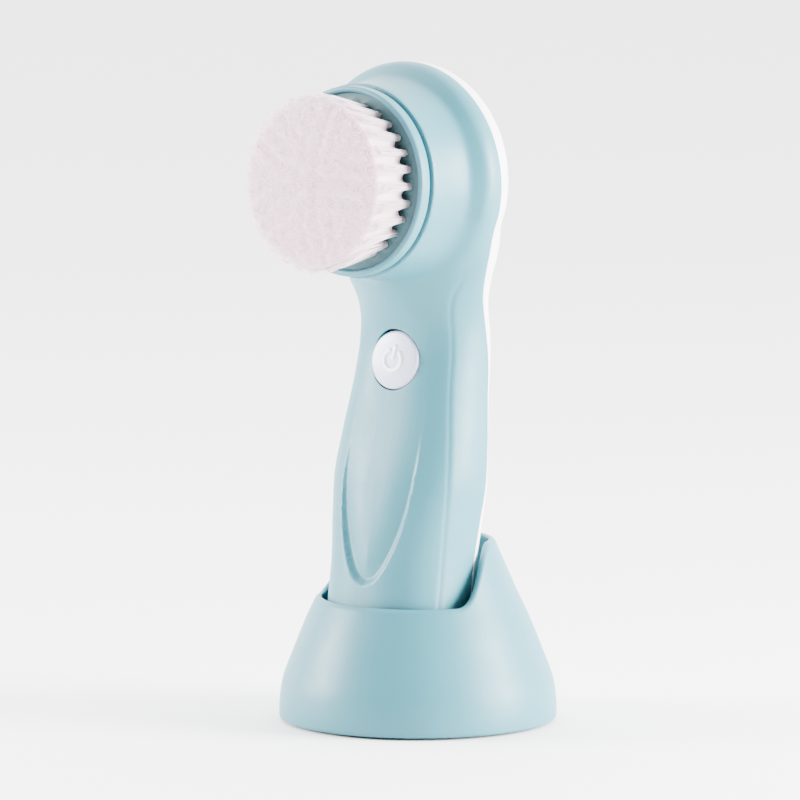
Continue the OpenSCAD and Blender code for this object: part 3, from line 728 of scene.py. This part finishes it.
def fibres_piece():
    """Every fibre as a thin tapered prism, fanned out of its tuft's hole."""
    random = np.random.default_rng(7)
    roots, tips = [], []
    for ring_r, count in TUFT_RINGS:
        for k in range(count):
            a = 2 * math.pi * k / count
            centre = np.array([ring_r * math.cos(a), ring_r * math.sin(a)])
            spread = np.sqrt(random.random(FIBRES))
            turn = random.random(FIBRES) * 2 * np.pi
            spot = np.stack([spread * np.cos(turn), spread * np.sin(turn)], axis=-1)
            outward = centre * TUFT_TIP_REACH / TUFT_RINGS[0][0]
            roots.append(centre + TUFT_ROOT_R * spot)
            tips.append(outward + TUFT_TIP_R * spot + random.normal(0, TIP_SCATTER, spot.shape))
    roots, tips = np.concatenate(roots), np.concatenate(tips)
    reach = np.hypot(tips[:, 0], tips[:, 1])
    over = np.maximum(reach / (BRISTLE_R - 0.15), 1)
    tips /= over[:, None]
    reach = np.hypot(tips[:, 0], tips[:, 1])
    length = field_height(reach) - np.abs(random.normal(0, LENGTH_SCATTER, len(tips)))
    tone = random.random(len(tips))
    bow = random.normal(0, BOW_SCATTER, roots.shape)
    turn = np.linspace(0, 2 * np.pi, FIBRE_SIDES, endpoint=False)
    points, along, shade = [], [], []
    for s in range(FIBRE_STEPS):
        t = s / (FIBRE_STEPS - 1)
        centre = roots + (tips - roots) * t ** 1.35 + bow * (t * (1 - t) * 4)
        radius = FIBRE_R * (1 - FIBRE_TAPER * t**3)
        height = PLATE_FRONT - FIBRE_SINK + (length + FIBRE_SINK) * t
        ring = [centre[:, 0, None] + radius * np.cos(turn), centre[:, 1, None] + radius * np.sin(turn),
                np.repeat(height[:, None], FIBRE_SIDES, axis=1)]
        points.append(np.stack(ring, axis=-1))
        along.append(np.full((len(tips), FIBRE_SIDES), t))
        shade.append(np.repeat(tone[:, None], FIBRE_SIDES, axis=1))
    points = np.stack(points, axis=1)
    base = np.arange(len(tips)) * FIBRE_STEPS * FIBRE_SIDES
    quads = []
    for s in range(FIBRE_STEPS - 1):
        low, high = base + s * FIBRE_SIDES, base + (s + 1) * FIBRE_SIDES
        for k in range(FIBRE_SIDES):
            m = (k + 1) % FIBRE_SIDES
            quads.append(np.stack([low + k, low + m, high + m, high + k], axis=-1))
    caps = base[:, None] + (FIBRE_STEPS - 1) * FIBRE_SIDES + np.arange(FIBRE_SIDES)[None, :]
    faces = np.concatenate(quads).tolist() + caps.tolist()
    piece = make_piece("fibres", from_head(points.reshape(-1, 3)), faces, smooth_shade=False)
    for name, values in (("along", along), ("tone", shade)):
        layer = piece.data.attributes.new(name, "FLOAT", "POINT")
        layer.data.foreach_set("value", np.stack(values, axis=1).ravel().astype(np.float32))
    return piece


def core_piece():
    """Dense heart of the bristle field, just under the tips, with the tufts' scalloped sides."""
    around, rows, top_rows = 336, 40, 26
    angle = np.linspace(0, 2 * np.pi, around, endpoint=False)
    outer_tufts = TUFT_RINGS[0][1]
    rings = []

    def ring(radius, height):
        """Add a ring of the field."""
        rings.append(np.stack([radius * np.cos(angle), radius * np.sin(angle), height + 0 * angle], axis=-1))

    for t in np.linspace(0.12, 1, rows):
        scallop = (1 - smooth(t / 0.8)) * CORE_SCALLOP * (0.5 - 0.5 * np.cos(outer_tufts * angle))
        ring(CORE_ROOT_R + (CORE_TIP_R - CORE_ROOT_R) * t**1.3 - scallop,
             PLATE_FRONT + t * (field_height(CORE_TIP_R) - CORE_SINK))
    for r in np.linspace(CORE_TIP_R, 0.3, top_rows)[1:]:
        ring(r, PLATE_FRONT + field_height(r) - CORE_SINK)
    faces = grid_faces(len(rings), around)
    last = (len(rings) - 1) * around
    faces.append(tuple(range(last, last + around)))
    faces.append(tuple(range(around - 1, -1, -1)))
    return make_piece("bristle_core", from_head(np.concatenate(rings)), faces)


# ---- Materials ----
class Nodes:
    """Short way to build a node material."""

    def __init__(self, name):
        self.material = bpy.data.materials.new(name)
        self.material.use_nodes = True
        self.tree = self.material.node_tree
        self.shader = self.tree.nodes["Principled BSDF"]

    def feed(self, socket, value):
        """Link an output to an input, or set the input's own value."""
        if hasattr(value, "links"):
            self.tree.links.new(value, socket)
        else:
            socket.default_value = value

    def add(self, kind, inputs=(), **settings):
        """New node with its settings and inputs."""
        node = self.tree.nodes.new(kind)
        for key, value in settings.items():
            setattr(node, key, value)
        for key, value in dict(inputs).items():
            self.feed(node.inputs[key], value)
        return node

    def set(self, key, value):
        """Input of the material's shader."""
        self.feed(self.shader.inputs[key], value)

    def place(self):
        """Position on the object, in metres."""
        return self.add("ShaderNodeTexCoord").outputs["Object"]

    def noise(self, scale, detail=3.0, rough=0.5):
        """Cloudy noise fixed to the object."""
        inputs = {"Vector": self.place(), "Scale": scale, "Detail": detail, "Roughness": rough}
        return self.add("ShaderNodeTexNoise", inputs).outputs["Fac"]

    def between(self, value, low, high):
        """Noise, which lies mostly from 0.3 to 0.7, stretched to run from low to high."""
        return self.add("ShaderNodeMapRange", {"Value": value, "From Min": 0.3, "From Max": 0.7,
                                               "To Min": low, "To Max": high}).outputs["Result"]

    def tint(self, value, colour_a, colour_b):
        """Colour that goes from one to the other as the value rises."""
        node = self.add("ShaderNodeMix", data_type="RGBA")
        self.tree.links.new(value, node.inputs["Factor"])
        node.inputs["A"].default_value = (*colour_a, 1)
        node.inputs["B"].default_value = (*colour_b, 1)
        return node.outputs["Result"]

    def bump(self, layers):
        """Bumps laid one over another: (height socket, distance in metres, strength)."""
        normal = None
        for height, distance, strength in layers:
            node = self.add("ShaderNodeBump", {"Height": height, "Distance": distance, "Strength": strength})
            if normal is not None:
                self.tree.links.new(normal, node.inputs["Normal"])
            normal = node.outputs["Normal"]
        self.set("Normal", normal)


def moulded(name, colour, rough, coat=0.0, under=0.0, shift=0.03, gloss=0.5):
    """Moulded plastic: fine surface texture, faint flow marks and a slight change of colour."""
    m = Nodes(name)
    darker = tuple(c * (1 - shift) for c in colour)
    flow = m.noise(38, 4, 0.6)
    m.set("Base Color", m.tint(m.between(flow, 0, 1), darker, colour))
    fine = m.noise(2200, 2)
    smear = m.noise(120, 5, 0.65)
    m.set("Roughness", m.between(smear, rough - 0.05, rough + 0.06))
    m.bump([(fine, 0.00002, 0.35), (smear, 0.00004, 0.06)])
    m.set("IOR", 1.49)
    m.set("Specular IOR Level", gloss)
    m.set("Coat Weight", coat)
    m.set("Coat Roughness", 0.22)
    if under:
        m.set("Subsurface Weight", under)
        m.set("Subsurface Radius", (0.004, 0.004, 0.0045))
        m.set("Subsurface Scale", 1.0)
    return m.material


def rubber(name, colour):
    """Dull rubber or silicone with a lighter bloom in patches."""
    m = Nodes(name)
    bloom = tuple(min(1, c * 1.4 + 0.01) for c in colour)
    m.set("Base Color", m.tint(m.between(m.noise(300, 4), 0, 1), colour, bloom))
    m.set("Roughness", m.between(m.noise(500), 0.62, 0.85))
    m.bump([(m.noise(2600, 2), 0.00004, 0.6)])
    return m.material


def metal(name, colour, rough):
    """Metal with fine lines across its height."""
    m = Nodes(name)
    stretch = m.add("ShaderNodeMapping", {"Vector": m.place(), "Scale": (1, 1, 30)}).outputs["Vector"]
    lines = m.add("ShaderNodeTexNoise", {"Vector": stretch, "Scale": 400.0, "Detail": 4.0}).outputs["Fac"]
    m.set("Base Color", m.tint(m.between(lines, 0, 1), tuple(c * 0.88 for c in colour), colour))
    m.set("Metallic", 1.0)
    m.set("Roughness", m.between(lines, rough - 0.06, rough + 0.08))
    m.bump([(lines, 0.00002, 0.3)])
    return m.material


def bristle_material(name, colour_root, colour_tip, solid):
    """Soft translucent fibre. The solid heart is mottled, each fibre has a tone of its own and is darker at
    its root, a painted shade deep among the tufts.
    """
    m = Nodes(name)
    if solid:
        tone = m.noise(900, 6, 0.7)
        m.set("Base Color", m.tint(m.between(tone, 0, 1), colour_root, colour_tip))
        m.bump([(tone, 0.0003, 0.7)])
    else:
        along = m.add("ShaderNodeAttribute", attribute_name="along").outputs["Fac"]
        tone = m.add("ShaderNodeAttribute", attribute_name="tone").outputs["Fac"]
        # Darker at the root than at the tip: painted shade deep among the tufts.
        ramp = m.tint(along, colour_root, colour_tip)
        shade = m.add("ShaderNodeMapRange", {"Value": tone, "To Min": 0.94, "To Max": 1.03}).outputs["Result"]
        mix = m.add("ShaderNodeVectorMath", operation="SCALE")
        m.tree.links.new(ramp, mix.inputs[0])
        m.tree.links.new(shade, mix.inputs["Scale"])
        m.set("Base Color", mix.outputs[0])
    m.set("Roughness", 0.6)
    m.set("Sheen Weight", 0.6)
    m.set("Sheen Roughness", 0.4)
    m.set("Subsurface Weight", 0.35)
    m.set("Subsurface Radius", (0.006, 0.0045, 0.0045))
    m.set("Subsurface Scale", 1.0)
    return m.material


# Height at which the copper band starts, in metres
CELL_BAND_Z = 0.063


def cell_material(name):
    """Plain cell sleeve: dark body with a copper band at the top."""
    m = Nodes(name)
    height = m.add("ShaderNodeSeparateXYZ", {"Vector": m.place()}).outputs["Z"]
    band = m.add("ShaderNodeMath", {0: height, 1: CELL_BAND_Z}, operation="GREATER_THAN").outputs[0]
    m.set("Base Color", m.tint(band, (0.02, 0.02, 0.025), (0.55, 0.30, 0.14)))
    m.set("Roughness", m.between(m.noise(90), 0.25, 0.4))
    m.set("Metallic", 0.4)
    m.bump([(m.noise(700), 0.00002, 0.2)])
    return m.material


def board_material(name):
    """Solder mask with faint copper tracks under it."""
    m = Nodes(name)
    pattern = {"Vector": m.place(), "Scale": 260.0, "Mortar Size": 0.03, "Mortar": (0.04, 0.26, 0.12, 1),
               "Color1": (0.01, 0.12, 0.05, 1), "Color2": (0.012, 0.14, 0.06, 1)}
    tracks = m.add("ShaderNodeTexBrick", pattern)
    m.set("Base Color", tracks.outputs["Color"])
    m.set("Roughness", m.between(m.noise(200), 0.25, 0.4))
    m.bump([(tracks.outputs["Fac"], 0.00005, 0.4)])
    return m.material


AQUA = (0.045, 0.185, 0.228)
AQUA_DEEP = (0.03, 0.10, 0.115)

looks = {
    "aqua": moulded("aqua_plastic", AQUA, 0.40, gloss=0.3, under=0.06),
    "aqua_inner": moulded("aqua_inner_plastic", AQUA_DEEP, 0.5),
    "white_shell": moulded("white_plastic", (0.86, 0.86, 0.88), 0.25, coat=0.3, under=0.05, shift=0.015),
    "white_button": moulded("button_plastic", (0.47, 0.48, 0.62), 0.3, coat=0.2, under=0.1, shift=0.015),
    # The fibres' darker root colour paints the shade deep among the tufts.
    "bristle_fibre": bristle_material("fibre", (0.64, 0.56, 0.61), (0.90, 0.69, 0.78), False),
    # The bristle plate's teal is darkened to paint the shade that falls on it between the tufts and the cup's
    # rim.
    "plate_teal": moulded("plate_plastic_painted_shade", (0.045, 0.11, 0.12), 0.5, gloss=0.2),
    "rubber_black": rubber("black_rubber", (0.02, 0.02, 0.022)),
    "rubber_aqua": rubber("aqua_silicone", (0.16, 0.30, 0.32)),
    "grey_plastic": moulded("grey_plastic", (0.16, 0.17, 0.175), 0.5),
    "gear_plastic": moulded("acetal", (0.78, 0.76, 0.68), 0.35),
    "cell_sleeve": cell_material("cell_sleeve"),
    "board_green": board_material("solder_mask"),
    "black_plastic": moulded("black_plastic", (0.02, 0.02, 0.022), 0.4),
    "brass": metal("brass", (0.74, 0.55, 0.25), 0.25),
    "steel": metal("steel", (0.55, 0.56, 0.58), 0.3),
}


def dress(piece, slot_name, body, *replaced, look=None):
    """Give a piece its material (its slot's look unless another is given) and its body, and hide the CAD
    nodes that it stands for.
    """
    piece.data.materials.clear()
    piece.data.materials.append(look or looks[slot_name])
    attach(piece, body)
    if replaced:
        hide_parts(*replaced)


# ---- Build ----
front, rear = split_shells(handle_skin())
dress(front, "aqua", "handle", "front_shell")
dress(rear, "white_shell", "handle", "rear_cover")
dress(stand_piece(), "aqua", "stand", "stand_shell")
dress(cradle_piece(), "aqua_inner", "stand", "cradle")
dress(button_piece(), "white_button", "button", "power_button")
dress(icon_piece(), "white_button", "button", look=moulded("icon_plastic", (0.9, 0.9, 0.92), 0.35))
dress(cup_piece(), "aqua", "brush_head", "brush_cup")
dress(plate_piece(), "plate_teal", "brush_head", "bristle_plate")
dress(fibres_piece(), "bristle_fibre", "brush_head", "bristles")
core_look = bristle_material("fibre_heart", (0.66, 0.46, 0.54), (0.74, 0.54, 0.62), True)
dress(core_piece(), "bristle_fibre", "brush_head", look=core_look)

# Every other piece keeps its CAD shape and takes the look of its slot
for entry in frame["record"]["subparts"]:
    node = frame["nodes"][entry["node"]]
    for k in range(max(1, len(node.material_slots))):
        if len(node.material_slots) <= k:
            node.data.materials.append(None)
        node.material_slots[k].material = looks[entry["material_slot"]]

# ---- Floor, light and camera ----
# Where the camera stands round the brush and above the floor, and how far from it, in metres
CAMERA_TURN = math.radians(39.5)
CAMERA_RISE = math.radians(7.5)
CAMERA_FAR = 2.5
# Width of the view at the brush, in metres, and the point it looks at, in millimetres
VIEW_WIDTH = 0.2051
AIM_RIGHT, AIM_UP = -4.6, 81.65
FLOOR_HALF = 6.0
# Square lights: place and size in metres, power in watts
SOFTBOXES = {
    "left_softbox": ((-0.70, -0.52, 0.30), 0.35, 27),
    "right_softbox": ((0.85, 0.42, 0.30), 0.55, 82),
}
LIGHT_AIM = (0, 0, 0.09)
# Strength of the surroundings in front of the brush and behind it
WORLD_FRONT, WORLD_BACK = 0.1, 6.8
# The change from back to front: cosines of the angle from the front
WORLD_FADE_FROM, WORLD_FADE_TO = -0.6, 0.9


def add_floor():
    """Large matt floor, light grey."""
    mesh = bpy.data.meshes.new("floor")
    size = FLOOR_HALF
    corners = [(-size, -size, 0), (size, -size, 0), (size, size, 0), (-size, size, 0)]
    mesh.from_pydata(corners, [], [(0, 1, 2, 3)])
    floor = bpy.data.objects.new("floor", mesh)
    bpy.context.scene.collection.objects.link(floor)
    look = Nodes("floor")
    look.set("Base Color", (0.92, 0.92, 0.92, 1))
    look.set("Roughness", 0.8)
    mesh.materials.append(look.material)


def add_light(name, place, size, power):
    """Softbox turned to the middle of the brush."""
    light = bpy.data.lights.new(name, "AREA")
    light.size = size
    light.energy = power
    holder = bpy.data.objects.new(name, light)
    holder.location = place
    holder.rotation_euler = (Vector(LIGHT_AIM) - Vector(place)).to_track_quat("-Z", "Y").to_euler()
    bpy.context.scene.collection.objects.link(holder)


def add_camera():
    """Long lens, so the brush is seen with little perspective."""
    level = math.cos(CAMERA_RISE)
    toward = Vector((math.sin(CAMERA_TURN) * level, -math.cos(CAMERA_TURN) * level, math.sin(CAMERA_RISE)))
    right = Vector((math.cos(CAMERA_TURN), math.sin(CAMERA_TURN), 0))
    up = toward.cross(right)
    aim = (right * AIM_RIGHT + up * AIM_UP) * MM
    data = bpy.data.cameras.new("camera")
    data.sensor_width = 36
    data.lens = data.sensor_width * CAMERA_FAR / VIEW_WIDTH
    data.clip_end = 50
    camera = bpy.data.objects.new("camera", data)
    camera.location = aim + toward * CAMERA_FAR
    camera.rotation_euler = toward.to_track_quat("Z", "Y").to_euler()
    bpy.context.scene.collection.objects.link(camera)
    bpy.context.scene.camera = camera


def add_world():
    """White surroundings, brighter behind the brush than in front of it."""
    world = bpy.data.worlds.new("world")
    world.use_nodes = True
    tree = world.node_tree
    place = tree.nodes.new("ShaderNodeTexCoord")
    ahead = tree.nodes.new("ShaderNodeVectorMath")
    ahead.operation = "DOT_PRODUCT"
    ahead.inputs[1].default_value = (math.sin(CAMERA_TURN), -math.cos(CAMERA_TURN), 0)
    glow = tree.nodes.new("ShaderNodeMapRange")
    glow.interpolation_type = "SMOOTHSTEP"
    glow.inputs["From Min"].default_value = WORLD_FADE_FROM
    glow.inputs["From Max"].default_value = WORLD_FADE_TO
    glow.inputs["To Min"].default_value = WORLD_BACK
    glow.inputs["To Max"].default_value = WORLD_FRONT
    tree.links.new(place.outputs["Generated"], ahead.inputs[0])
    tree.links.new(ahead.outputs["Value"], glow.inputs["Value"])
    tree.links.new(glow.outputs["Result"], tree.nodes["Background"].inputs["Strength"])
    tree.nodes["Background"].inputs["Color"].default_value = (1, 1, 1, 1)
    bpy.context.scene.world = world


add_floor()
for name, (place, size, power) in SOFTBOXES.items():
    add_light(name, place, size, power)
add_world()
add_camera()
